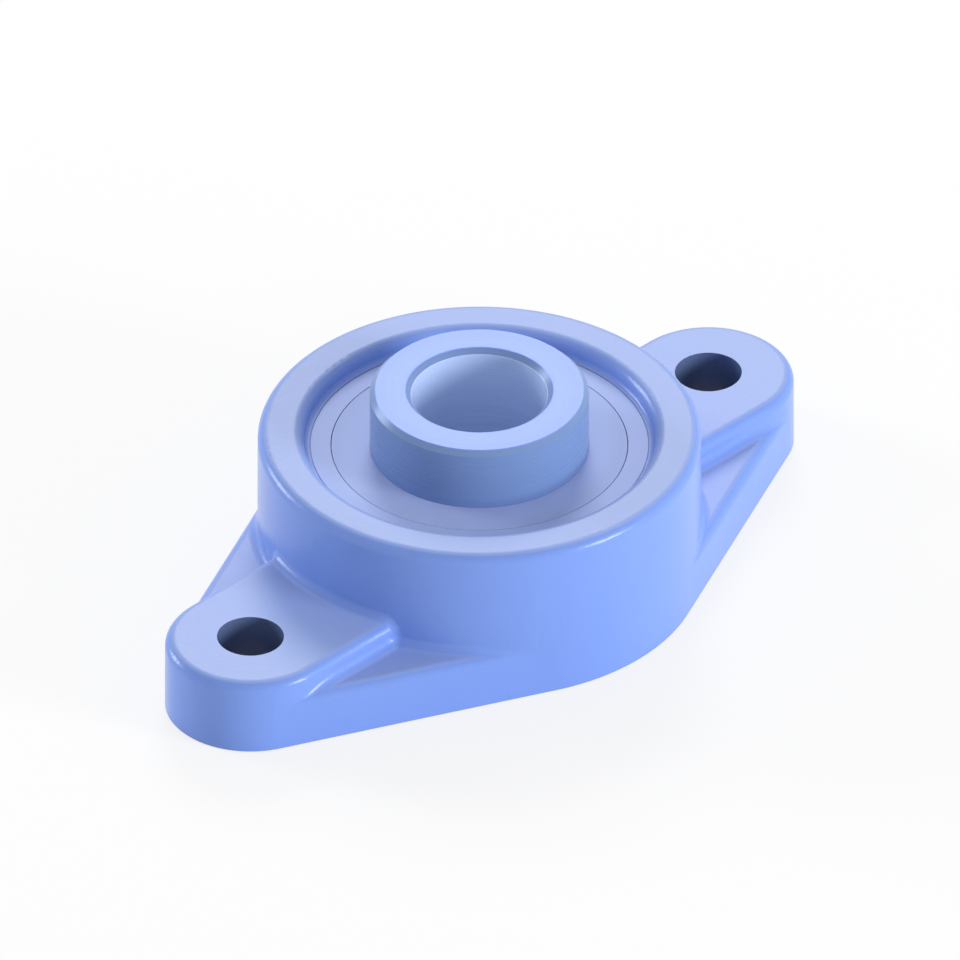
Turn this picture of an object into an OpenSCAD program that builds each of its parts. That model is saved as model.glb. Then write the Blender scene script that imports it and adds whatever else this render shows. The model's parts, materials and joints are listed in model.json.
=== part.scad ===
// Oval two-bolt flange bearing: a cast housing that holds a self-aligning, sealed deep groove ball bearing.
// The mounting face lies on z = 0, the shaft axis is Z and the two bolt holes lie on the X axis.
// The sizes across the shaft build on each other, from the bore out to the boss.

/* [Flange] */
// Distance between the centres of the two bolt holes
bolt_spacing = 90; // [84:0.5:100]
// Diameter of each bolt hole
bolt_hole_d = 9.3; // [6:0.1:12]
// Radius of the rounded end of each lug
lug_r = 11.9; // [10:0.1:14]
// Height of the lug pads above the mounting face
pad_h = 11.2; // [10:0.1:14]
// Height of the web between the pads and the boss
web_h = 7.75; // [6:0.05:8.5]
// Rounding radius of the cast outer edges
edge_r = 1.6; // [0.8:0.1:1.8]
// Rounding radius of the cast inner corners
root_r = 1.6; // [0.8:0.1:1.8]

/* [Boss] */
// Thickness of the boss wall around the middle of the spherical seat
boss_wall = 5.9; // [5:0.1:9]
// Height of the bearing centre above the mounting face
seat_z = 13.35; // [12:0.05:16]
// Depth of the recess from the boss rim to the face of the outer ring
recess_depth = 2.45; // [1.8:0.05:4]
// Rounding radius between the recess wall and its floor
recess_root_r = 0.8; // [0.4:0.05:1]
// Step by which the relief behind the seat is wider than the seat's mouth, each side
relief_step = 0.6; // [0.3:0.05:1.2]
// Chamfer around the relief in the mounting face
relief_chamfer = 0.8; // [0.3:0.1:1.5]

/* [Inner ring] */
// Bore for the shaft
bore_d = 19.05; // [15:0.05:22]
// Thickness of the inner ring from its bore to its outside
inner_ring_wall = 5.725; // [4:0.025:7]
// Overall width of the inner ring
inner_ring_w = 28; // [26:0.1:29]
// Height of the inner ring's nose above the face of the outer ring
nose_out = 9.35; // [7:0.05:10]
// Chamfer on the outside edges of the inner ring
ring_chamfer = 0.75; // [0.3:0.05:1]
// Chamfer at both ends of the shaft bore
bore_chamfer = 0.78; // [0.3:0.01:1]

/* [Outer ring] */
// Thickness of the outer ring from its plain bore to the crown of its spherical outside
outer_ring_wall = 4.7; // [4.2:0.05:6]
// Width of the outer ring
outer_ring_w = 16; // [15:0.1:18]
// Edge break on the two faces of the outer ring
ring_edge_break = 0.12; // [0.05:0.01:0.3]

/* [Balls and cage] */
// Number of balls
ball_count = 8; // [6:1:9]
// Ball diameter
ball_d = 7.94; // [7:0.01:8.4]
// Raceway radius as a share of the ball diameter
race_share = 0.52; // [0.51:0.005:0.53]
// Depth of each raceway below the plain surface beside it
race_depth = 1.525; // [1.2:0.025:1.7]
// Thickness of the pressed cage strip
cage_t = 0.6; // [0.4:0.05:0.7]
// Radial width of the cage strip
cage_w = 3.4; // [2.6:0.1:3.8]
// Diameter of a cage rivet's shank
rivet_d = 1.2; // [0.8:0.1:1.4]
// Diameter of a cage rivet's head
rivet_head_d = 2.1; // [1.8:0.1:2.3]
// Height of a cage rivet's head
rivet_head_h = 0.5; // [0.3:0.05:0.6]

/* [Seals and slingers] */
// Step by which the counterbore that holds a seal is wider than the outer ring's plain bore, each side
seal_step = 0.5; // [0.35:0.05:0.8]
// Depth of the seal plate's outer face below the face of the outer ring
seal_depth = 1.6; // [1.5:0.05:1.8]
// Thickness of the steel plate that carries the rubber lip
seal_plate_t = 0.6; // [0.4:0.05:0.7]
// Radial distance from the inner ring to the inner edge of the seal plate
seal_plate_reach = 1.95; // [1.5:0.05:2.4]
// Thickness of the rubber lip where it grips the plate
seal_lip_t = 1.2; // [1:0.05:1.3]
// Thickness of the rubber lip where it meets the inner ring
seal_lip_edge = 0.35; // [0.2:0.05:0.6]
// Thickness of the pressed slinger on the inner ring
slinger_t = 0.8; // [0.5:0.05:1]
// Length of the slinger's sleeve along the inner ring
slinger_sleeve = 1.1; // [1.05:0.05:1.2]

/* [Fits] */
// Radial clearance between the spherical seat and the outer ring
seat_clearance = 0.05; // [0.03:0.01:0.09]
// Clearance between a ball and its raceways
ball_clearance = 0.03; // [0.01:0.01:0.08]
// Clearance between a ball and its cage pocket
pocket_clearance = 0.12; // [0.05:0.01:0.2]
// Radial gap between the slinger and the outer ring
slinger_clearance = 0.1; // [0.06:0.01:0.3]
// Radial clearance between the rubber lip and the inner ring
lip_clearance = 0.05; // [0.02:0.01:0.1]
// Extra width of the slots through which the bearing enters the seat
slot_clearance = 0.6; // [0.2:0.1:1]

/* [Hidden] */
$fn = 96;

iron = "#8FA9E8";
steel = "#B7C8F2";
zinc = "#A9B8DC";
rubber = "#2B3350";

// How far a cutter runs past the face it cuts, and a root's anchor lies behind the wall
over = 1;
// How far flat sides start inside the round ends that they run out of
inset = 0.01;
// Length of plain wall left between two roundings that follow each other
land = 0.05;
// How far the ends of a root's section are sunk into the faces that it joins
sink = 0.02;
// Share of the way to its point after which a root's taper ends, and how far into the boss it then runs
taper_end = 0.93;
bury = 0.15;
// Steps across a root, along a taper or the pad's width, and over the pad's edge or along the boss
root_steps = 6;
taper_steps = 12;
taper_last = taper_steps - 1;
edge_steps = 4;

// Radii across the shaft, from the inside out
ball_r = ball_d / 2;
inner_r = bore_d / 2 + inner_ring_wall;
pitch_r = inner_r - race_depth + ball_clearance + ball_r;
outer_bore_r = pitch_r + ball_r + ball_clearance - race_depth;
outer_r = outer_bore_r + outer_ring_wall;
seat_r = outer_r + seat_clearance;
boss_r = seat_r + boss_wall;

// Heights along the shaft
half_w = outer_ring_w / 2;
floor_z = seat_z + half_w;
boss_h = floor_z + recess_depth;
nose_z = floor_z + nose_out;
tail_z = nose_z - inner_ring_w;

// Seat's mouth at the recess floor, the recess that starts there and the relief behind the seat
mouth_r = sqrt(seat_r * seat_r - half_w * half_w);
recess_r = mouth_r + recess_root_r - land;
rim_edge_r = min(edge_r, recess_depth - recess_root_r - land);
relief_r = mouth_r + relief_step;

race_r = race_share * ball_d;
race_shift = race_r - ball_r - ball_clearance;
pocket_r = ball_r + pocket_clearance;
cage_in_r = pitch_r - cage_w / 2;
cage_out_r = pitch_r + cage_w / 2;
seal_r = outer_bore_r + seal_step;
plate_in_r = inner_r + seal_plate_reach;
plate_z = half_w - seal_depth - seal_plate_t;

// Straight sides of the flange, which touch both a lug's end and the boss: their slope, the outward
// direction of the one between +X and +Y, and its distance from the shaft axis
hole_x = bolt_spacing / 2;
side_a = asin((boss_r - lug_r) / hole_x);
side_u = [sin(side_a), cos(side_a)];
side_r = boss_r - inset;

// The pad's edge and the roots are limited by the step from web to pad
pad_edge_r = min(edge_r, (pad_h - web_h) / 2 - land);
fillet_r = min(root_r, pad_h - web_h - pad_edge_r - land);

// Path of the ball that rolls along the roots: its distances from the shaft axis and from the lug's axis
path_r = boss_r + fillet_r;
lug_path_r = lug_r + fillet_r;
// Where it comes onto the pad's rounded edge, and where it touches boss, pad and web at once
pad_edge_a = asin((lug_r - pad_edge_r) / path_r);
corner_a = asin(lug_path_r / path_r);
corner_x = path_r * cos(corner_a);
corner = [corner_x, lug_path_r, web_h + fillet_r];
// Where it comes onto the web's rounded edge, and where it leaves it as the side touches boss or lug
edge_line = side_r - edge_r;
boss_taper_a = 90 - side_a - acos(edge_line / path_r);
boss_point_a = 90 - side_a - acos((side_r + fillet_r) / path_r);
pad_taper_x = (edge_line - lug_path_r * side_u.y) / side_u.x;
lug_point_a = 90 - side_a + acos((lug_path_r - inset) / lug_path_r);

// Half section of a plain disc with a rounded top edge
module disc_section(r, h, round_r) {
    difference() {
        square([r, h]);
        translate([r - round_r, h - round_r])
            difference() {
                square(round_r + over);
                circle(round_r);
            }
    }
}

// Cuts the rounding along a straight edge that runs along X at height z, with y as its outward direction
module edge_cutter(length, z, round_r) {
    translate([-over, -round_r, z - round_r])
        rotate([90, 0, 90])
            linear_extrude(length)
                difference() {
                    square(round_r + over);
                    circle(round_r);
                }
}

// Lug with its raised pad, whose straight sides run on into the boss
module lug() {
    difference() {
        translate([0, -lug_r, 0])
            cube([hole_x, 2 * lug_r, pad_h]);
        for (my = [0, 1])
            mirror([0, my, 0])
                translate([0, lug_r, 0])
                    edge_cutter(hole_x + 2 * over, pad_h, pad_edge_r);
    }
    translate([hole_x, 0, 0])
        rotate([0, 0, -90])
            rotate_extrude(angle = 180)
                disc_section(lug_r, pad_h, pad_edge_r);
}

module web() {
    from_boss = side_r * side_u;
    from_lug = [hole_x, 0] + (lug_r - inset) * side_u;
    difference() {
        linear_extrude(web_h)
            polygon([
                from_lug,
                from_boss,
                [-from_boss.x, from_boss.y],
                [-from_lug.x, from_lug.y],
                -from_lug,
                -from_boss,
                [from_boss.x, -from_boss.y],
                [from_lug.x, -from_lug.y]
            ]);
        for (mx = [0, 1], my = [0, 1])
            mirror([mx, 0, 0])
                mirror([0, my, 0])
                    rotate([0, 0, -side_a])
                        translate([0, side_r, 0])
                            edge_cutter(hole_x + over, web_h, edge_r);
    }
}

// The rounded roots are the space that a rolling ball of radius fillet_r can't reach. The ball's path
// bends where it rolls over another rounding, so each root is a loft of cross sections along that path.

// Point on an edge rounding of radius r that the ball touches from centre c, with the rounding's own
// centre in the same section at axis
function edge_foot(c, axis, r) = axis + r / (r + fillet_r) * (c - axis);

// How far plan point p lies beyond the line on which the web's edge starts to round off
function past_edge(p) = p * side_u - edge_line;

// Height of the ball's centre above plan point p, on the web's top or on its rounded edge
function roll_z(p) =
    past_edge(p) <= 0
        ? web_h + fillet_r
        : web_h - edge_r + sqrt(max(0, pow(fillet_r + edge_r, 2) - pow(past_edge(p), 2)));

// Point of the web that the ball touches from centre c above plan point p
function web_foot(c, p) =
    past_edge(p) <= 0
        ? [c.x, c.y, web_h]
        : let (q = p - past_edge(p) * side_u)
            edge_foot(c, [q.x, q.y, web_h - edge_r], edge_r);

// Points of the ball's surface from touching point a to touching point b, with both ends sunk by depth
function root_arc(c, a, b, depth = sink) =
    let (u = (a - c) / fillet_r, v = (b - c) / fillet_r, turn = acos(u * v))
    [
        for (k = [0:root_steps])
            let (t = k / root_steps, r = k == 0 || k == root_steps ? fillet_r + depth : fillet_r)
            c + r / sin(turn) * (sin((1 - t) * turn) * u + sin(t * turn) * v)
    ];

// Section of the root between the web and a wall, for a ball over plan point p with the wall in direction -n
function web_root_section(p, n) =
    let (c = [p.x, p.y, roll_z(p)], wall = c - fillet_r * [n.x, n.y, 0])
    concat(
        root_arc(c, wall, web_foot(c, p)),
        [[wall.x - over * n.x, wall.y - over * n.y, web_h - edge_r - over]]
    );

// Spreads the sections of a taper over its way to its point, closer together towards the end
function taper_share(k) = taper_end * (1 - pow(1 - k / taper_last, 1.5));

// A section of the boss's root turned on round the shaft, and buried in the boss
function buried(row, turn) =
    [
        for (q = row)
            let (w = (1 - bury / norm([q.x, q.y])) * q)
            [w.x * cos(turn) - w.y * sin(turn), w.x * sin(turn) + w.y * cos(turn), q.z]
    ];

// Solid through a row of sections that all have the same number of points, the last of them an anchor inside
module loft(rows) {
    n = len(rows[0]);
    last = (len(rows) - 1) * n;
    polyhedron(
        points = [for (row = rows) each row],
        faces = concat(
            [for (k = [0:n - 3]) [n - 1, k, k + 1]],
            [for (k = [0:n - 3]) [last + n - 1, last + k + 1, last + k]],
            [
                for (i = [0:n:last - n], k = [0:n - 1])
                    each [
                        [i + k, i + n + k, i + (k + 1) % n],
                        [i + n + k, i + n + (k + 1) % n, i + (k + 1) % n]
                    ]
            ]
        )
    );
}

// Section of the root between the boss and the pad's flat top, at angle a round the shaft
function top_section(a) =
    let (
        n = [cos(a), sin(a), 0],
        c = path_r * n + [0, 0, pad_h + fillet_r],
        wall = c - fillet_r * n
    )
    concat(root_arc(c, wall, c - [0, 0, fillet_r]), [[wall.x - over, wall.y, pad_h - pad_edge_r]]);

// Section of the root between the boss and the pad's rounded edge or side, for a ball at centre c
function side_section(c) =
    let (
        wall = c - fillet_r / path_r * [c.x, c.y, 0],
        axis = [c.x, lug_r - pad_edge_r, min(c.z, pad_h - pad_edge_r)]
    )
    concat(root_arc(c, wall, edge_foot(c, axis, pad_edge_r)), [[wall.x - over, axis.y, axis.z]]);

// Root of the boss across the pad and down both its sides to the web
module pad_crossing() {
    arm = pad_edge_r + fillet_r;
    sides = concat(
        [
            for (k = [0:edge_steps])
                let (t = 90 * k / edge_steps, y = lug_r - pad_edge_r + arm * sin(t))
                side_section([sqrt(path_r * path_r - y * y), y, pad_h - pad_edge_r + arm * cos(t)])
        ],
        [side_section(corner)]
    );
    loft(concat(
        [for (k = [edge_steps + 1:-1:0]) [for (q = sides[k]) [q.x, -q.y, q.z]]],
        [for (k = [1:taper_last]) top_section(pad_edge_a * (2 * k / taper_steps - 1))],
        sides
    ));
}

// Root of the boss on the web, from the corner to the point at which the flange's side touches the boss
module boss_foot() {
    reach = boss_point_a - boss_taper_a;
    rows = [
        for (
            a = concat(
                [for (k = [0:edge_steps - 1]) corner_a + (boss_taper_a - corner_a) * k / edge_steps],
                [for (k = [0:taper_last]) boss_taper_a + reach * taper_share(k)]
            )
        )
            let (n = [cos(a), sin(a)])
            web_root_section(path_r * n, n)
    ];
    loft(concat(rows, [buried(rows[len(rows) - 1], reach * (1 - taper_end))]));
}

// Root of the pad on the web, from the point at which the flange's side touches the lug to the corner
module pad_foot() {
    straight = taper_steps / 2;
    reach = lug_point_a - 90;
    loft(concat(
        [
            for (k = [taper_last:-2:1])
                let (a = 90 + reach * taper_share(k), n = [cos(a), sin(a)])
                web_root_section([hole_x, 0] + lug_path_r * n, n)
        ],
        [
            for (k = [straight:-1:0])
                web_root_section([pad_taper_x + (hole_x - pad_taper_x) * k / straight, lug_path_r], [0, 1])
        ],
        [web_root_section([corner_x, lug_path_r], [0, 1])]
    ));
}

// Corner where boss, pad and web meet, rounded by the ball at rest in it
module corner_root() {
    at_boss = corner - fillet_r / path_r * [corner_x, lug_path_r, 0];
    at_pad = corner - [0, fillet_r, 0];
    at_web = corner - [0, 0, fillet_r];
    by_boss = root_arc(corner, at_boss, at_web);
    by_pad = root_arc(corner, at_pad, at_web);
    rows = concat(
        [root_arc(corner, at_boss, at_pad)],
        [for (k = [1:root_steps - 1]) root_arc(corner, by_boss[k], by_pad[k], 0)]
    );
    anchors = [
        side_section(corner)[root_steps + 1],
        web_root_section([corner_x, lug_path_r], [corner_x, lug_path_r] / path_r)[root_steps + 1],
        web_root_section([corner_x, lug_path_r], [0, 1])[root_steps + 1]
    ];
    n = root_steps + 1;
    last = (root_steps - 1) * n;
    tip = root_steps * n;
    above = tip + 1;
    boss_side = tip + 2;
    pad_side = tip + 3;
    polyhedron(
        points = concat([for (row = rows) each row], [by_boss[root_steps]], anchors),
        faces = concat(
            [
                for (i = [0:n:last - n], k = [0:n - 2])
                    each [[i + k, i + n + k, i + k + 1], [i + n + k, i + n + k + 1, i + k + 1]]
            ],
            [for (k = [0:n - 2]) [last + k, tip, last + k + 1]],
            [for (k = [0:n - 2]) [above, k, k + 1]],
            [for (i = [0:n:last - n]) each [[boss_side, i + n, i], [pad_side, i + n - 1, i + 2 * n - 1]]],
            [
                [boss_side, tip, last],
                [pad_side, tip - 1, tip],
                [0, above, boss_side],
                [above, n - 1, pad_side],
                [tip, boss_side, pad_side],
                [boss_side, above, pad_side]
            ]
        )
    );
}

// Recess inside the rim, with its rounded lip and rounded root
module recess_section() {
    difference() {
        union() {
            translate([0, floor_z])
                square([recess_r, recess_depth + over]);
            translate([recess_r, boss_h - rim_edge_r])
                difference() {
                    translate([-over, 0])
                        square([rim_edge_r + over, rim_edge_r + over]);
                    translate([rim_edge_r, 0])
                        circle(rim_edge_r);
                }
        }
        translate([recess_r - recess_root_r, floor_z + recess_root_r])
            difference() {
                translate([0, -recess_root_r - over])
                    square([recess_root_r + over, recess_root_r + over]);
                circle(recess_root_r);
            }
    }
}

// Slots through which the bearing enters edge on, before it is swung into line with the seat
module loading_slots() {
    translate([0, 0, -over])
        linear_extrude(seat_z + over)
            intersection() {
                circle(seat_r + slot_clearance / 2);
                square([3 * seat_r, outer_ring_w + slot_clearance], center = true);
            }
}

module housing() {
    color(iron)
        difference() {
            union() {
                web();
                rotate_extrude()
                    disc_section(boss_r, boss_h, edge_r);
                for (mx = [0, 1])
                    mirror([mx, 0, 0]) {
                        lug();
                        pad_crossing();
                        for (my = [0, 1])
                            mirror([0, my, 0]) {
                                corner_root();
                                boss_foot();
                                pad_foot();
                            }
                    }
            }
            rotate_extrude()
                recess_section();
            translate([0, 0, seat_z])
                sphere(seat_r);
            translate([0, 0, -over])
                cylinder(h = over + seat_z - half_w, r = relief_r);
            translate([0, 0, -relief_chamfer])
                cylinder(h = 2 * relief_chamfer, r1 = relief_r + 2 * relief_chamfer, r2 = relief_r);
            loading_slots();
            for (side = [-1, 1])
                translate([side * hole_x, 0, -over])
                    cylinder(h = pad_h + 2 * over, d = bolt_hole_d);
        }
}

module outer_ring() {
    face_r = sqrt(outer_r * outer_r - half_w * half_w);
    color(steel)
        translate([0, 0, seat_z])
            rotate_extrude()
                difference() {
                    intersection() {
                        circle(outer_r);
                        translate([outer_bore_r, -half_w])
                            square([outer_r, outer_ring_w]);
                    }
                    translate([pitch_r - race_shift, 0])
                        circle(race_r);
                    for (side = [-1, 1])
                        translate([0, side * half_w]) {
                            square([2 * seal_r, 2 * (half_w - plate_z)], center = true);
                            translate([face_r, 0])
                                rotate(45)
                                    square(sqrt(2) * ring_edge_break, center = true);
                        }
                }
}

module inner_ring() {
    color(steel)
        rotate_extrude()
            difference() {
                polygon([
                    [bore_d / 2, tail_z + bore_chamfer],
                    [bore_d / 2 + bore_chamfer, tail_z],
                    [inner_r - ring_chamfer, tail_z],
                    [inner_r, tail_z + ring_chamfer],
                    [inner_r, nose_z - ring_chamfer],
                    [inner_r - ring_chamfer, nose_z],
                    [bore_d / 2 + bore_chamfer, nose_z],
                    [bore_d / 2, nose_z - bore_chamfer]
                ]);
                translate([pitch_r + race_shift, seat_z])
                    circle(race_r);
            }
}

// Puts a child at ball number i, or part of the way to the next ball
module at_ball(i, between = 0) {
    rotate([0, 0, (i - 1 + between) * 360 / ball_count])
        translate([pitch_r, 0, 0])
            children();
}

module ball(i) {
    color(steel)
        translate([0, 0, seat_z])
            at_ball(i)
                sphere(ball_r);
}

// Half of the pressed ribbon cage, with a domed pocket over each ball
module cage_half() {
    color(zinc)
        difference() {
            intersection() {
                rotate_extrude()
                    translate([cage_in_r, 0])
                        square([cage_w, ball_d]);
                union() {
                    cylinder(h = cage_t, r = cage_out_r + over);
                    for (i = [1:ball_count])
                        at_ball(i)
                            sphere(pocket_r + cage_t);
                }
            }
            for (i = [1:ball_count]) {
                at_ball(i)
                    sphere(pocket_r);
                at_ball(i, 0.5)
                    translate([0, 0, -over])
                        cylinder(h = cage_t + 2 * over, d = rivet_d);
            }
        }
}

// Puts a piece that is drawn round the bearing centre, for the front, on the front (1) or the back (-1)
module on_side(side) {
    translate([0, 0, seat_z])
        mirror([0, 0, side < 0 ? 1 : 0])
            children();
}

// A rivet head is the cap of a sphere
module rivet_head() {
    cap_r = (rivet_head_d * rivet_head_d / 4 + rivet_head_h * rivet_head_h) / (2 * rivet_head_h);
    rotate_extrude()
        intersection() {
            translate([0, rivet_head_h - cap_r])
                circle(cap_r);
            square([rivet_head_d, rivet_head_h]);
        }
}

module cage_rivets() {
    color(zinc)
        for (i = [1:ball_count]) {
            on_side(1)
                at_ball(i, 0.5)
                    translate([0, 0, -cage_t])
                        cylinder(h = 2 * cage_t, d = rivet_d);
            for (side = [-1, 1])
                on_side(side)
                    at_ball(i, 0.5)
                        translate([0, 0, cage_t])
                            rivet_head();
        }
}

// Pressed steel disc with a sleeve, which turns with the inner ring
module slinger() {
    rim_r = seal_r - slinger_clearance;
    color(zinc)
        rotate_extrude()
            polygon([
                [inner_r, half_w],
                [rim_r, half_w],
                [rim_r, half_w - slinger_t],
                [inner_r + slinger_t, half_w - slinger_t],
                [inner_r + slinger_t, half_w - slinger_sleeve],
                [inner_r, half_w - slinger_sleeve]
            ]);
}

module seal_plate() {
    color(zinc)
        rotate_extrude()
            translate([plate_in_r, plate_z])
                square([seal_r - plate_in_r, seal_plate_t]);
}

// Rubber ring moulded round the inner edge of its plate, with a lip that narrows to the inner ring
module seal_lip() {
    lip_r = inner_r + lip_clearance;
    low_z = plate_z + (seal_plate_t - seal_lip_t) / 2;
    high_z = low_z + seal_lip_t;
    color(rubber)
        rotate_extrude()
            difference() {
                polygon([
                    [lip_r, high_z - 2 * seal_lip_edge],
                    [lip_r + seal_lip_t / 2, low_z],
                    [plate_in_r + seal_plate_t, low_z],
                    [plate_in_r + seal_plate_t, high_z],
                    [lip_r + seal_lip_t / 2, high_z],
                    [lip_r, high_z - seal_lip_edge]
                ]);
                translate([plate_in_r, plate_z])
                    square([seal_r, seal_plate_t]);
            }
}

housing();
outer_ring();
inner_ring();
on_side(1) cage_half();  // cage_front
on_side(-1) cage_half();  // cage_back
cage_rivets();
on_side(1) slinger();  // slinger_front
on_side(-1) slinger();  // slinger_back
on_side(1) seal_plate();  // seal_plate_front
on_side(-1) seal_plate();  // seal_plate_back
on_side(1) seal_lip();  // seal_lip_front
on_side(-1) seal_lip();  // seal_lip_back
for (i = [1:ball_count])
    ball(i);
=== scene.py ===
"""Finish of an oval flange bearing: painted casting, rings, slingers, seals, balls and cage."""

import json
import math

import bmesh
import bpy
from mathutils import Matrix, Vector


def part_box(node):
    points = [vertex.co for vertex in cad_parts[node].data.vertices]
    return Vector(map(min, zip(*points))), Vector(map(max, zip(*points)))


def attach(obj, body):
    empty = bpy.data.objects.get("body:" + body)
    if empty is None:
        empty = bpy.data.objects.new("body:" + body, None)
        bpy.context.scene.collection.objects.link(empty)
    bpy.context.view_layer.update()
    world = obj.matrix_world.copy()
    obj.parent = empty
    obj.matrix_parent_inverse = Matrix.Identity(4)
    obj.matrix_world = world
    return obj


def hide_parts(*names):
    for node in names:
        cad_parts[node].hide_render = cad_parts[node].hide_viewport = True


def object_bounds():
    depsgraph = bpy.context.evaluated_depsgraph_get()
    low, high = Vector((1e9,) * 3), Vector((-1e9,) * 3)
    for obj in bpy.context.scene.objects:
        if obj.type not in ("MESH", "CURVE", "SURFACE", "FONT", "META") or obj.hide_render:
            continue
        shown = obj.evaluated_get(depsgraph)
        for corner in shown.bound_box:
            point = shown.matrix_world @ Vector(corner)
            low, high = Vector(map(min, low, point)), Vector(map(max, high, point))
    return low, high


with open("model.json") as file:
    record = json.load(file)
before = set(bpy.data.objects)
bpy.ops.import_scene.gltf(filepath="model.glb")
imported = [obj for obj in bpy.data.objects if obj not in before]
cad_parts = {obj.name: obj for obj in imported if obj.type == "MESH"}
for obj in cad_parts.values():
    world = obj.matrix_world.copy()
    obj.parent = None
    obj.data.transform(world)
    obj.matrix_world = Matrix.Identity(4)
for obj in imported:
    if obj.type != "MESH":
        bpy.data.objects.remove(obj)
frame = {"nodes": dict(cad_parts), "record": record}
CAD_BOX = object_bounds()

bl_info = {
    "name": "Oval flange bearing",
    "version": (1, 0, 0),
    "blender": (4, 5, 0),
    "location": "View3D > Sidebar > Bearing",
    "description": "Builds the finished surfaces of an oval flange bearing on its CAD frame",
    "category": "Object",
}

# Places on the bearing, in metres, from the CAD frame
SEAT_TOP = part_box("outer_ring")[1].z
SEAT_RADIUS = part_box("outer_ring")[1].x
RING_LOW, RING_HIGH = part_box("inner_ring")
RING_RADIUS = RING_HIGH.x
RING_MIDDLE = (RING_LOW.z + RING_HIGH.z) / 2
MOUNTS = {mount["kind"]: mount["dims"] for mount in frame["record"]["mounts"] if "dims" in mount}
BORE_RADIUS = MOUNTS["bore"]["r_mm"] / 1000
HOLE_X = MOUNTS["bolt_pattern"]["spacing_x_mm"] / 2000
HOLE_RADIUS = MOUNTS["bolt_pattern"]["hole_r_mm"] / 1000

# How far past a face its mask reaches, in metres, so that it takes in the whole face
ON_SEAT = 0.0002
ON_HOLE = 0.00003
ON_BORE = 0.00005
ON_END = 0.0001

# Heights within this of a flat face lie on it
ON_FACE = 0.00002

# Ring steel this far outside the inner ring belongs to the outer ring
PAST_RING = 0.001

# Thin paint and painted light in the mouth of the recess: the radius where it starts, where it is full, its
# share
MOUTH_START = SEAT_RADIUS + 0.0026
MOUTH_FULL = SEAT_RADIUS + 0.001
MOUTH_SHARE = 0.3

# How far a normal rises where the painted highlight on the paint starts, and where it is full
PAINTED_HIGHLIGHT_START = 0.82
PAINTED_HIGHLIGHT_FULL = 0.99

# Index of refraction of the paint and of the film on the steels, and how metallic that film is
PAINT_IOR = 1.32
STEEL_IOR = 1.27
STEEL_METAL = 0.04

# Size of the patterns in the finishes, in metres
CLOUD_SIZE = 0.018
TOOL_PITCH = 0.0004
PRESS_PITCH = 0.0006
STAIN_SIZE = 0.008
HAZE_SIZE = 0.003
OIL_SIZE = 0.002
DRAWN_SIZE = 0.0012
STRIP_FILM_SIZE = 0.006
BLOOM_SIZE = 0.002
RUBBER_GRAIN = 0.0002

# Depth of the relief that tools and handling leave, in metres
MARK_DEPTH = 0.0000025
SHEET_DEPTH = 0.000006
FILM_DEPTH = 0.000001
STRIP_DEPTH = 0.000006
RUBBER_DEPTH = 0.00001

# Distances below which points of a mesh are one point, and an edge has no length
MERGE = 0.000002
NO_LENGTH = 0.0000005

# Edges that bend more than this stay crisp
RING_CREASE = math.radians(30)
CAGE_CREASE = math.radians(30)
SLINGER_CREASE = math.radians(40)
BALL_CREASE = math.radians(60)

# Steps of the pressed slingers round the shaft and round each bend
SPIN_STEPS = 160
BEND_STEPS = 4

# Each lamp's name, the look that holds its power, its azimuth from the camera's, its elevation
# and its width
LAMPS = (
    ("key_lamp", "key", math.radians(63), math.radians(12), 0.7),
    ("fill_lamp", "fill", math.radians(-115), math.radians(15), 0.8),
    ("back_lamp", "back", math.radians(180), math.radians(36), 0.84),
)
LAMP_DISTANCE = 2.0
LAMP_TARGET = Vector((0, 0, 0.012))

# The camera's distance, a point on the shaft's axis, and how far up and right of that point the
# picture's middle lies
CAMERA_DISTANCE = 0.5
CAMERA_TARGET = Vector((0, 0, 0.0112))
PICTURE_UP = 0.003364
PICTURE_RIGHT = 0.000083
CLIP_START = 0.01
CLIP_END = 10

# Half the floor's width, its gap below the bearing, and how white the camera sees it
FLOOR_HALF = 3
FLOOR_GAP = 0.0002
FLOOR_WHITE = 0.76


class CastingLook(bpy.types.PropertyGroup):
    paint: bpy.props.FloatVectorProperty(
        name="Paint", description="Colour of the paint on the casting",
        subtype="COLOR", size=3, min=0, max=1, default=(0.200, 0.327, 0.79),
    )
    paint_shade: bpy.props.FloatVectorProperty(
        name="Paint shade", description="Colour of the paint where it lies a little thicker",
        subtype="COLOR", size=3, min=0, max=1, default=(0.180, 0.300, 0.75),
    )
    iron: bpy.props.FloatVectorProperty(
        name="Machined iron", description="Colour of the machined mounting face and spherical seat",
        subtype="COLOR", size=3, min=0, max=1, default=(0.40, 0.47, 0.66),
    )
    # Paler paint on the faces that look up and in the recess mouth is a painted highlight
    chalk: bpy.props.FloatVectorProperty(
        name="Paint on top", description="Colour of the paint on the faces that look up, where it is chalky",
        subtype="COLOR", size=3, min=0, max=1, default=(0.31, 0.415, 0.77),
    )
    # The dark colour of the bolt holes' bare iron is painted shade
    drilled: bpy.props.FloatVectorProperty(
        name="Drilled iron", description="Colour of the bare drilled walls of the bolt holes",
        subtype="COLOR", size=3, min=0, max=1, default=(0.10, 0.145, 0.29),
    )
    grain: bpy.props.FloatProperty(
        name="Casting grain", description="Size of the grain that shows through the paint",
        unit="LENGTH", min=0.0002, max=0.005, default=0.0007,
    )
    grain_depth: bpy.props.FloatProperty(
        name="Grain depth", description="Depth of the grain that shows through the paint",
        unit="LENGTH", min=0, max=0.0005, default=0.00005,
    )
    crease: bpy.props.FloatProperty(
        name="Crease angle", description="Edges that bend more than this stay crisp",
        subtype="ANGLE", min=0, max=math.pi, default=math.radians(32),
    )


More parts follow.
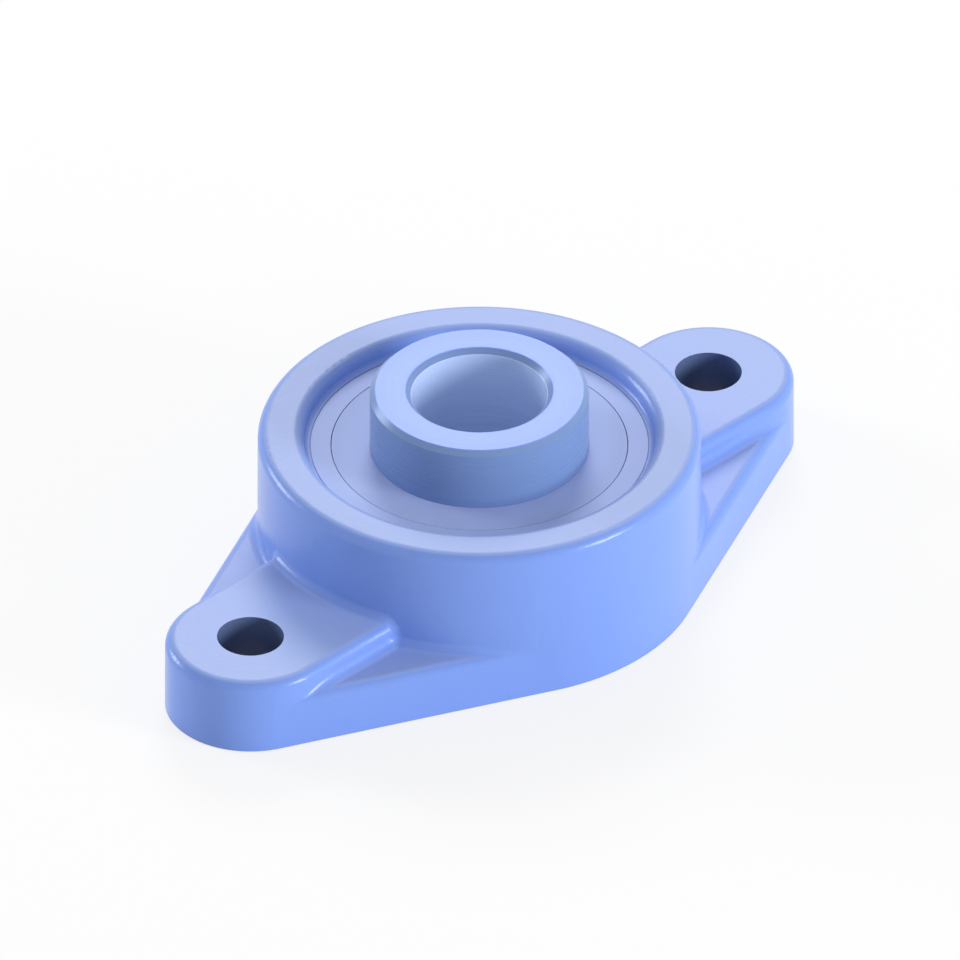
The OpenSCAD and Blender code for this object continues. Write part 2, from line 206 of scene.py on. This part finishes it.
class RingLook(bpy.types.PropertyGroup):
    # The ring steel is darker than the ends: painted shade on the ring's wall
    steel: bpy.props.FloatVectorProperty(
        name="Ring steel", description="Colour of the turned and hardened ring steel",
        subtype="COLOR", size=3, min=0, max=1, default=(0.185, 0.288, 0.55),
    )
    faced: bpy.props.FloatVectorProperty(
        name="Faced steel", description="Colour of the faced sides of the outer ring",
        subtype="COLOR", size=3, min=0, max=1, default=(0.425, 0.525, 0.87),
    )
    ground: bpy.props.FloatVectorProperty(
        name="Ground ends", description="Colour of the ground ends of the inner ring",
        subtype="COLOR", size=3, min=0, max=1, default=(0.213, 0.325, 0.80),
    )
    # The bore's pale colour is a painted highlight on its bright steel
    honed: bpy.props.FloatVectorProperty(
        name="Honed bore", description="Colour of the bright honed bore",
        subtype="COLOR", size=3, min=0, max=1, default=(0.55, 0.69, 0.98),
    )
    pressed: bpy.props.FloatVectorProperty(
        name="Pressed steel", description="Colour of the plated slingers and seal plates",
        subtype="COLOR", size=3, min=0, max=1, default=(0.425, 0.525, 0.87),
    )
    mark_pitch: bpy.props.FloatProperty(
        name="Grinding marks", description="Distance between the fine rings that grinding leaves",
        unit="LENGTH", min=0.00005, max=0.002, default=0.0003,
    )
    bend: bpy.props.FloatProperty(
        name="Press bend", description="Rounding at the bends and edges of the pressed slingers",
        unit="LENGTH", min=0.00002, max=0.0004, default=0.00007,
    )
    sheet: bpy.props.FloatProperty(
        name="Slinger sheet", description="Thickness of the sheet that the slingers are pressed from",
        unit="LENGTH", min=0.0005, max=0.001, default=0.0008,
    )


class InnerLook(bpy.types.PropertyGroup):
    ball: bpy.props.FloatVectorProperty(
        name="Balls", description="Colour of the polished balls",
        subtype="COLOR", size=3, min=0, max=1, default=(0.78, 0.80, 0.84),
    )
    cage: bpy.props.FloatVectorProperty(
        name="Cage", description="Colour of the pressed cage strip and its rivets",
        subtype="COLOR", size=3, min=0, max=1, default=(0.55, 0.57, 0.61),
    )
    rubber: bpy.props.FloatVectorProperty(
        name="Rubber", description="Colour of the moulded seal lips",
        subtype="COLOR", size=3, min=0, max=1, default=(0.16, 0.22, 0.42),
    )


class StageLook(bpy.types.PropertyGroup):
    floor: bpy.props.FloatVectorProperty(
        name="Floor", description="Colour of the floor",
        subtype="COLOR", size=3, min=0, max=1, default=(0.97, 0.97, 0.97),
    )
    ambient: bpy.props.FloatProperty(
        name="Room light", description="Strength of the even light from all round",
        min=0, max=2, default=0.53,
    )
    key: bpy.props.FloatProperty(
        name="Key light", description="Power of the large lamp on the right", unit="POWER",
        min=0, max=100, default=30.0,
    )
    fill: bpy.props.FloatProperty(
        name="Fill light", description="Power of the lamp on the left", unit="POWER",
        min=0, max=100, default=17.0,
    )
    back: bpy.props.FloatProperty(
        name="Back light", description="Power of the lamp behind, which gives the top faces their sheen",
        unit="POWER", min=0, max=100, default=14.0,
    )
    azimuth: bpy.props.FloatProperty(
        name="Azimuth", description="Direction of the camera round the bearing",
        subtype="ANGLE", default=math.radians(315),
    )
    elevation: bpy.props.FloatProperty(
        name="Elevation", description="Height of the camera above the horizon",
        subtype="ANGLE", default=math.radians(35.264),
    )
    picture: bpy.props.FloatProperty(
        name="Picture width", description="Width of what the camera takes in",
        unit="LENGTH", min=0.05, max=1, default=0.13344,
    )


class Value:
    """A number in a shader. Python's operators on it add Math nodes."""

    def __init__(self, finish, socket):
        self.finish = finish
        self.socket = socket

    def math(self, operation, *others):
        values = dict(enumerate((self, *others)))
        return self.finish.node("ShaderNodeMath", {"operation": operation}, values)

    def __add__(self, other):
        return self.math("ADD", other)

    def __sub__(self, other):
        return self.math("SUBTRACT", other)

    def __mul__(self, other):
        return self.math("MULTIPLY", other)

    def __pow__(self, other):
        return self.math("POWER", other)

    def __rsub__(self, other):
        return self.finish.node("ShaderNodeMath", {"operation": "SUBTRACT"}, {0: other, 1: self})

    def __rpow__(self, other):
        return self.finish.node("ShaderNodeMath", {"operation": "POWER"}, {0: other, 1: self})

    __radd__ = __add__
    __rmul__ = __mul__

    def __abs__(self):
        return self.math("ABSOLUTE")

    def above(self, level):
        return self.math("GREATER_THAN", level)

    def below(self, level):
        return self.math("LESS_THAN", level)

    def larger(self, other):
        return self.math("MAXIMUM", other)


class Finish:
    """A node tree in the making: a material's, or the world's."""

    def __init__(self, owner):
        owner.use_nodes = True
        self.tree = owner.node_tree
        self.tree.nodes.clear()

    def node(self, kind, settings=None, values=None, output=0):
        """Adds a node: first its settings, then what its sockets hold or follow."""
        made = self.tree.nodes.new(kind)
        for name, setting in (settings or {}).items():
            setattr(made, name, setting)
        for name, value in (values or {}).items():
            socket = made.inputs[name]
            if isinstance(value, Value):
                self.tree.links.new(value.socket, socket)
            elif socket.type == "RGBA" and len(value) == 3:
                socket.default_value = (*value, 1)
            else:
                socket.default_value = value
        return Value(self, made.outputs[output]) if made.outputs else None

    def point(self):
        """The point on the piece, as a vector in metres."""
        return self.node("ShaderNodeTexCoord", output="Object")

    def axes(self, vector):
        """The three numbers of a vector."""
        split = self.node("ShaderNodeSeparateXYZ", values={"Vector": vector})
        return [Value(self, split.socket.node.outputs[axis]) for axis in "XYZ"]

    def facing_up(self, start, full):
        """0 up to where the surface's normal rises to start, and 1 from where it rises to full."""
        normal = self.node("ShaderNodeTexCoord", output="Normal")
        return self.rise(self.axes(normal)[2], start, full)

    def rise(self, value, start, full):
        """0 up to start, 1 from full on, and even in between."""
        return self.node(
            "ShaderNodeMapRange", values={"Value": value, "From Min": start, "From Max": full}
        )

    def noise(self, point, size, detail=2.0, roughness=0.5):
        """Soft random pattern from 0 to 1 with features of about that size in metres."""
        return self.node(
            "ShaderNodeTexNoise",
            values={"Vector": point, "Scale": 1 / size, "Detail": detail, "Roughness": roughness},
        )

    def mix(self, share, first, second, blend="MIX"):
        """Mixes two colours, or blends them in the way that blend names."""
        return self.node(
            "ShaderNodeMix", {"data_type": "RGBA", "blend_type": blend},
            {0: share, 6: first, 7: second}, output=2,
        )

    def bump(self, height, depth):
        """The surface's normal with a relief of that depth in metres."""
        values = {"Height": height, "Distance": depth, "Strength": 1.0}
        return self.node("ShaderNodeBump", values=values)

    def surface(self, values):
        """Ends a material with the shader that holds these values."""
        shader = self.node("ShaderNodeBsdfPrincipled", values=values)
        self.node("ShaderNodeOutputMaterial", values={"Surface": shader})

    def eye_share(self):
        """1 for what the camera sees, straight or in a gloss, and 0 for what lights the bearing."""
        outputs = self.node("ShaderNodeLightPath").socket.node.outputs
        eye, gloss, through = (
            Value(self, outputs[ray + " Ray"]) for ray in ("Is Camera", "Is Glossy", "Is Transmission")
        )
        return eye.larger(gloss).larger(through)


class ToolMarks:
    """The rings round the shaft that turning and grinding leave: lines of equal radius and height."""

    def __init__(self, finish, radius, height, pitch):
        self.finish = finish
        self.pitch = pitch
        self.lines = finish.node("ShaderNodeCombineXYZ", values={"X": radius, "Y": height, "Z": 0.0})

    def fine(self):
        return self.finish.noise(self.lines, self.pitch, 2.0, 0.6)

    def wide(self):
        return self.finish.noise(self.lines, 6 * self.pitch, 1.0)


def scaled(colour, factor):
    """A colour darkened or lightened by a factor, with no part of it above 1."""
    return [min(1, factor * part) for part in colour]


def casting_paint(finish, looks):
    """Light blue paint on grainy cast iron, with a painted highlight on the faces that look up, painted
    shade in the bolt holes, and bare iron where tools have been.
    """
    look = looks.casting_look
    point = finish.point()
    x, y, z = finish.axes(point)
    radius = (x * x + y * y) ** 0.5
    clouds = finish.noise(point, CLOUD_SIZE, 3.0)
    grain = finish.noise(point, look.grain, 3.0, 0.6)
    peel = finish.noise(point, 4 * look.grain, 1.0)
    marks = ToolMarks(finish, radius, z, TOOL_PITCH)
    fine = marks.fine()
    # The mounting face, the spherical seat and the relief behind it are machined after painting.
    seat = radius.below(SEAT_RADIUS + ON_SEAT) * z.below(SEAT_TOP - ON_FACE)
    machined = seat.larger(z.below(ON_FACE))
    # The two bolt holes are cut through the painted lugs with a drill and left bare; their dark colour is
    # painted shade.
    from_hole = ((abs(x) - HOLE_X) ** 2 + y * y) ** 0.5
    drilled = from_hole.below(HOLE_RADIUS + ON_HOLE)
    # Faces that look up take a paler colour: a painted highlight
    up = finish.facing_up(PAINTED_HIGHLIGHT_START, PAINTED_HIGHLIGHT_FULL)
    paint = finish.mix(clouds, look.paint_shade, look.paint)
    paint = finish.mix(up * (0.85 + 0.15 * grain), paint, look.chalk)
    # The mouth is faced before painting and takes the paint thinly; its paler tone is also painted light.
    mouth = finish.rise(radius, MOUTH_START, MOUTH_FULL)
    paint = finish.mix(mouth * MOUTH_SHARE, paint, look.chalk)
    iron = finish.mix(fine, scaled(look.iron, 0.75), look.iron)
    painted = 1 - machined
    paint_roughness = 0.20 + 0.06 * grain + 0.15 * up
    iron_roughness = 0.32 + 0.12 * marks.wide()
    height = (grain * 0.6 + peel * 0.8) * painted + fine * 0.5 * machined
    finish.surface({
        "Base Color": finish.mix(drilled, finish.mix(machined, paint, iron), look.drilled),
        "Metallic": machined * 0.6,
        "Roughness": paint_roughness * painted + iron_roughness * machined,
        "IOR": PAINT_IOR,
        "Normal": finish.bump(height, look.grain_depth),
    })


def ground_ring_steel(finish, looks):
    """Ring steel with fine grinding marks; ends, bore and faces each have their own finish, with painted
    shade on the wall and a painted highlight in the bore.
    """
    look = looks.ring_look
    point = finish.point()
    x, y, z = finish.axes(point)
    radius = (x * x + y * y) ** 0.5
    marks = ToolMarks(finish, radius, z, look.mark_pitch)
    fine, wide = marks.fine(), marks.wide()
    stain = finish.noise(point, STAIN_SIZE, 2.0)
    in_bore = radius.below(BORE_RADIUS + ON_BORE)
    at_ends = abs(z - RING_MIDDLE).above(RING_HIGH.z - RING_MIDDLE - ON_END)
    outer = radius.above(RING_RADIUS + PAST_RING)
    # The ring's wall gets darker steel as painted shade, and the bore a pale painted highlight
    tone = look.steel
    for mask, colour in ((at_ends, look.ground), (in_bore, look.honed), (outer, look.faced)):
        tone = finish.mix(mask, tone, colour)
    film = finish.mix(stain * 0.5 + wide * 0.5, (0.94, 0.94, 0.95), (1, 1, 1))
    finish.surface({
        "Base Color": finish.mix(1.0, tone, film, "MULTIPLY"),
        "Metallic": STEEL_METAL,
        "Roughness": 0.22 + 0.06 * fine + 0.05 * wide + 0.22 * outer,
        "IOR": STEEL_IOR,
        "Normal": finish.bump(fine, MARK_DEPTH),
    })


def plated_sheet_steel(finish, looks):
    """Pressed sheet with a dull plating, turned by its press tool."""
    look = looks.ring_look
    point = finish.point()
    x, y, z = finish.axes(point)
    fine = ToolMarks(finish, (x * x + y * y) ** 0.5, z, PRESS_PITCH).fine()
    haze = finish.noise(point, HAZE_SIZE, 3.0, 0.6)
    finish.surface({
        "Base Color": finish.mix(haze, scaled(look.pressed, 0.88), look.pressed),
        "Metallic": STEEL_METAL,
        "Roughness": 0.45 + 0.10 * haze + 0.04 * fine,
        "IOR": STEEL_IOR,
        "Normal": finish.bump(haze * 0.7 + fine * 0.3, SHEET_DEPTH),
    })


def polished_ball_steel(finish, looks):
    """Bright polished steel under a thin film of oil."""
    look = looks.inner_look
    film = finish.noise(finish.point(), OIL_SIZE, 2.0)
    finish.surface({
        "Base Color": finish.mix(film, scaled(look.ball, 0.93), look.ball),
        "Metallic": 1.0,
        "Roughness": 0.07 + 0.05 * film,
        "Normal": finish.bump(film, FILM_DEPTH),
    })


def bare_cage_strip(finish, looks):
    """Bare strip steel, dulled where the press has drawn it."""
    look = looks.inner_look
    point = finish.point()
    drawn = finish.noise(point, DRAWN_SIZE, 3.0, 0.65)
    film = finish.noise(point, STRIP_FILM_SIZE, 1.0)
    finish.surface({
        "Base Color": finish.mix(film, scaled(look.cage, 0.8), look.cage),
        "Metallic": 0.9,
        "Roughness": 0.30 + 0.16 * drawn,
        "Normal": finish.bump(drawn, STRIP_DEPTH),
    })


def moulded_seal_rubber(finish, looks):
    """Dark moulded rubber with a pale bloom."""
    look = looks.inner_look
    point = finish.point()
    bloom = finish.noise(point, BLOOM_SIZE, 3.0)
    grain = finish.noise(point, RUBBER_GRAIN, 2.0)
    finish.surface({
        "Base Color": finish.mix(bloom, look.rubber, scaled(look.rubber, 1.7)),
        "Roughness": 0.55 + 0.2 * bloom,
        "Normal": finish.bump(grain, RUBBER_DEPTH),
    })


def own_material(make):
    """The material that make gives its nodes, made the first time that a piece asks for it."""
    material = bpy.data.materials.get(make.__name__)
    if material is None:
        material = bpy.data.materials.new(make.__name__)
        make(Finish(material), bpy.context.scene)
    return material


def new_piece(name, mesh, make, body, slot, *nodes):
    """Links a finished mesh as a piece that rides on its body and stands for its CAD nodes."""
    mesh.materials.clear()
    mesh.materials.append(own_material(make))
    piece = bpy.data.objects.new(name, mesh)
    bpy.context.scene.collection.objects.link(piece)
    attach(piece, body)
    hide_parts(*nodes)
    return piece


def merged_copy(node, name, crease):
    """A CAD node's mesh with its loose triangles joined, smooth but for edges sharper than crease."""
    shape = bmesh.new()
    shape.from_mesh(frame["nodes"][node].data)
    bmesh.ops.remove_doubles(shape, verts=shape.verts, dist=MERGE)
    bmesh.ops.dissolve_degenerate(shape, dist=NO_LENGTH, edges=shape.edges)
    mesh = finished_mesh(shape, name)
    # The corner normals of the loose triangles no longer fit once these are joined.
    loose = mesh.attributes.get("custom_normal")
    if loose:
        mesh.attributes.remove(loose)
    mesh.shade_smooth()
    mesh.set_sharp_from_angle(angle=crease)
    return mesh


def finished_mesh(shape, name):
    """Turns a bmesh into a mesh of that name and frees it."""
    mesh = bpy.data.meshes.new(name)
    shape.to_mesh(mesh)
    shape.free()
    return mesh


def even_shading(piece):
    """Lets large flat faces keep their own shade beside the roundings that run out of them."""
    weighted = piece.modifiers.new("even_shading", "WEIGHTED_NORMAL")
    weighted.mode = "FACE_AREA"
    weighted.keep_sharp = True


def dress(node, make):
    """Gives a CAD node its material."""
    piece = frame["nodes"][node]
    piece.data.materials.clear()
    piece.data.materials.append(own_material(make))


def towards(azimuth, elevation):
    """The direction from the bearing to something at that azimuth and elevation."""
    return Vector((
        math.sin(azimuth) * math.cos(elevation),
        -math.cos(azimuth) * math.cos(elevation),
        math.sin(elevation),
    ))


def aim(holder, place, direction):
    """Puts a lamp or camera at a place, looking against that direction, and links it."""
    holder.location = place
    holder.rotation_mode = "QUATERNION"
    holder.rotation_quaternion = (-direction).to_track_quat("-Z", "Y")
    bpy.context.scene.collection.objects.link(holder)


class BEARING_OT_casting(bpy.types.Operator):
    """Builds the painted casting of the housing"""

    bl_idname = "bearing.casting"
    bl_label = "Casting"

    def execute(self, context):
        mesh = merged_copy("housing", "casting", context.scene.casting_look.crease)
        even_shading(new_piece("casting", mesh, casting_paint, "housing", "painted_iron", "housing"))
        return {"FINISHED"}


class BEARING_OT_rings(bpy.types.Operator):
    """Builds the ground outer and inner ring"""

    bl_idname = "bearing.rings"
    bl_label = "Rings"

    def execute(self, context):
        for node, body in (("outer_ring", "insert"), ("inner_ring", "shaft_ring")):
            name = "ground_" + node
            mesh = merged_copy(node, name, RING_CREASE)
            even_shading(new_piece(name, mesh, ground_ring_steel, body, "ring_steel", node))
        return {"FINISHED"}


class BEARING_OT_slingers(bpy.types.Operator):
    """Presses the two slingers, with rounded bends and edges"""

    bl_idname = "bearing.slingers"
    bl_label = "Slingers"

    def execute(self, context):
        look = context.scene.ring_look
        for node, outwards in (("slinger_front", 1), ("slinger_back", -1)):
            low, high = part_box(node)
            face, sleeve_end = (high.z, low.z) if outwards > 0 else (low.z, high.z)
            name = node + "_pressed"
            mesh = self.press(name, high.x, face, sleeve_end, outwards, look)
            even_shading(
                new_piece(name, mesh, plated_sheet_steel, "shaft_ring", "pressed_steel", node)
            )
        return {"FINISHED"}

    def press(self, name, rim, face, sleeve_end, outwards, look):
        """Spins the slinger's cross section round the shaft."""
        shape = bmesh.new()
        back = face - outwards * look.sheet
        sleeve = RING_RADIUS + look.sheet
        outline = (
            (rim, face),
            (rim, back),
            (sleeve, back),
            (sleeve, sleeve_end),
            (RING_RADIUS, sleeve_end),
        )
        inner = shape.verts.new((RING_RADIUS, 0, face))
        corners = [shape.verts.new((radius, 0, height)) for radius, height in outline]
        shape.faces.new([inner, *corners])
        bmesh.ops.bevel(
            shape, geom=corners, offset=look.bend, offset_type="OFFSET", segments=BEND_STEPS,
            profile=0.5, affect="VERTICES", material=-1,
        )
        bmesh.ops.delete(shape, geom=shape.faces[:], context="FACES_ONLY")
        bmesh.ops.spin(
            shape, geom=shape.edges[:], cent=(0, 0, 0), axis=(0, 0, 1), angle=math.tau,
            steps=SPIN_STEPS, use_merge=True,
        )
        bmesh.ops.remove_doubles(shape, verts=shape.verts, dist=NO_LENGTH)
        bmesh.ops.recalc_face_normals(shape, faces=shape.faces)
        if any(not edge.is_manifold for edge in shape.edges):
            raise RuntimeError(f"the pressed shape of {name} isn't closed")
        mesh = finished_mesh(shape, name)
        mesh.shade_smooth()
        mesh.set_sharp_from_angle(angle=SLINGER_CREASE)
        return mesh


class BEARING_OT_seals(bpy.types.Operator):
    """Finishes the seal plates and their rubber lips"""

    bl_idname = "bearing.seals"
    bl_label = "Seals"

    def execute(self, context):
        for side in ("front", "back"):
            dress("seal_plate_" + side, plated_sheet_steel)
            dress("seal_lip_" + side, moulded_seal_rubber)
        return {"FINISHED"}


class BEARING_OT_balls(bpy.types.Operator):
    """Finishes the balls, the two halves of the cage and its rivets"""

    bl_idname = "bearing.balls"
    bl_label = "Balls and cage"

    def execute(self, context):
        balls = sorted(node for node in frame["nodes"] if node.startswith("ball_"))
        if not balls:
            raise RuntimeError("the frame holds no balls")
        for node in balls:
            name = node + "_polished"
            mesh = merged_copy(node, name, BALL_CREASE)
            new_piece(name, mesh, polished_ball_steel, node, "ball_steel", node)
        for node in ("cage_front", "cage_back", "cage_rivets"):
            name = node + "_strip"
            mesh = merged_copy(node, name, CAGE_CREASE)
            even_shading(new_piece(name, mesh, bare_cage_strip, "cage", "cage_steel", node))
        return {"FINISHED"}


class BEARING_OT_stage(bpy.types.Operator):
    """Sets up the floor, the lamps and the camera"""

    bl_idname = "bearing.stage"
    bl_label = "Stage"

    def execute(self, context):
        look = context.scene.stage_look
        self.floor(context.scene, look)
        self.room(context.scene, look)
        for name, power, azimuth, elevation, width in LAMPS:
            direction = towards(look.azimuth + azimuth, elevation)
            self.lamp(name, getattr(look, power), direction, width)
        self.camera(context.scene, look)
        context.scene.view_settings.view_transform = "Standard"
        return {"FINISHED"}

    def floor(self, scene, look):
        shape = bmesh.new()
        bmesh.ops.create_grid(shape, x_segments=1, y_segments=1, size=FLOOR_HALF)
        mesh = finished_mesh(shape, "floor")
        mesh.transform(Matrix.Translation((0, 0, CAD_BOX[0].z - FLOOR_GAP)))
        material = bpy.data.materials.new("pale_floor")
        finish = Finish(material)
        matt = finish.node("ShaderNodeBsdfDiffuse", values={"Color": look.floor})
        white = finish.node("ShaderNodeEmission", values={"Color": (1, 1, 1), "Strength": 1.0})
        share = finish.eye_share() * FLOOR_WHITE
        mixed = finish.node("ShaderNodeMixShader", values={0: share, 1: matt, 2: white})
        finish.node("ShaderNodeOutputMaterial", values={"Surface": mixed})
        mesh.materials.append(material)
        floor = bpy.data.objects.new("floor", mesh)
        scene.collection.objects.link(floor)

    def room(self, scene, look):
        """Even light all round, which the camera and glosses see as white."""
        scene.world = bpy.data.worlds.new("studio")
        finish = Finish(scene.world)
        light, white = (
            finish.node("ShaderNodeBackground", values={"Color": (1, 1, 1), "Strength": strength})
            for strength in (look.ambient, 1.0)
        )
        mixed = finish.node("ShaderNodeMixShader", values={0: finish.eye_share(), 1: light, 2: white})
        finish.node("ShaderNodeOutputWorld", values={"Surface": mixed})

    def lamp(self, name, power, direction, width):
        lamp = bpy.data.lights.new(name, "AREA")
        lamp.shape = "DISK"
        lamp.size = width
        lamp.energy = power
        aim(bpy.data.objects.new(name, lamp), LAMP_TARGET + direction * LAMP_DISTANCE, direction)

    def camera(self, scene, look):
        """Looks along the photograph's direction, without perspective."""
        direction = towards(look.azimuth, look.elevation)
        right = Vector((math.cos(look.azimuth), math.sin(look.azimuth), 0))
        target = CAMERA_TARGET + direction.cross(right) * PICTURE_UP + right * PICTURE_RIGHT
        camera = bpy.data.cameras.new("camera")
        camera.type = "ORTHO"
        camera.ortho_scale = look.picture
        camera.clip_start = CLIP_START
        camera.clip_end = CLIP_END
        scene.camera = bpy.data.objects.new("camera", camera)
        aim(scene.camera, target + direction * CAMERA_DISTANCE, direction)


class BEARING_PT_panel(bpy.types.Panel):
    """Lists what builds the finished bearing"""

    bl_idname = "BEARING_PT_panel"
    bl_label = "Oval flange bearing"
    bl_space_type = "VIEW_3D"
    bl_region_type = "UI"
    bl_category = "Bearing"

    def draw(self, context):
        for operator in OPERATORS:
            self.layout.operator(operator.bl_idname)
        for name in LOOKS:
            look = getattr(context.scene, name)
            box = self.layout.box()
            for sized in look.__annotations__:
                box.prop(look, sized)


LOOKS = {
    "casting_look": CastingLook,
    "ring_look": RingLook,
    "inner_look": InnerLook,
    "stage_look": StageLook,
}
OPERATORS = (
    BEARING_OT_casting,
    BEARING_OT_rings,
    BEARING_OT_slingers,
    BEARING_OT_seals,
    BEARING_OT_balls,
    BEARING_OT_stage,
)


def register():
    for name, group in LOOKS.items():
        bpy.utils.register_class(group)
        setattr(bpy.types.Scene, name, bpy.props.PointerProperty(type=group))
    for kind in (*OPERATORS, BEARING_PT_panel):
        bpy.utils.register_class(kind)


def unregister():
    for kind in reversed((*OPERATORS, BEARING_PT_panel)):
        bpy.utils.unregister_class(kind)
    for name, group in LOOKS.items():
        delattr(bpy.types.Scene, name)
        bpy.utils.unregister_class(group)


def main():
    register()
    bpy.ops.bearing.casting()
    bpy.ops.bearing.rings()
    bpy.ops.bearing.slingers()
    bpy.ops.bearing.seals()
    bpy.ops.bearing.balls()
    bpy.ops.bearing.stage()


if __name__ == "__main__":
    main()
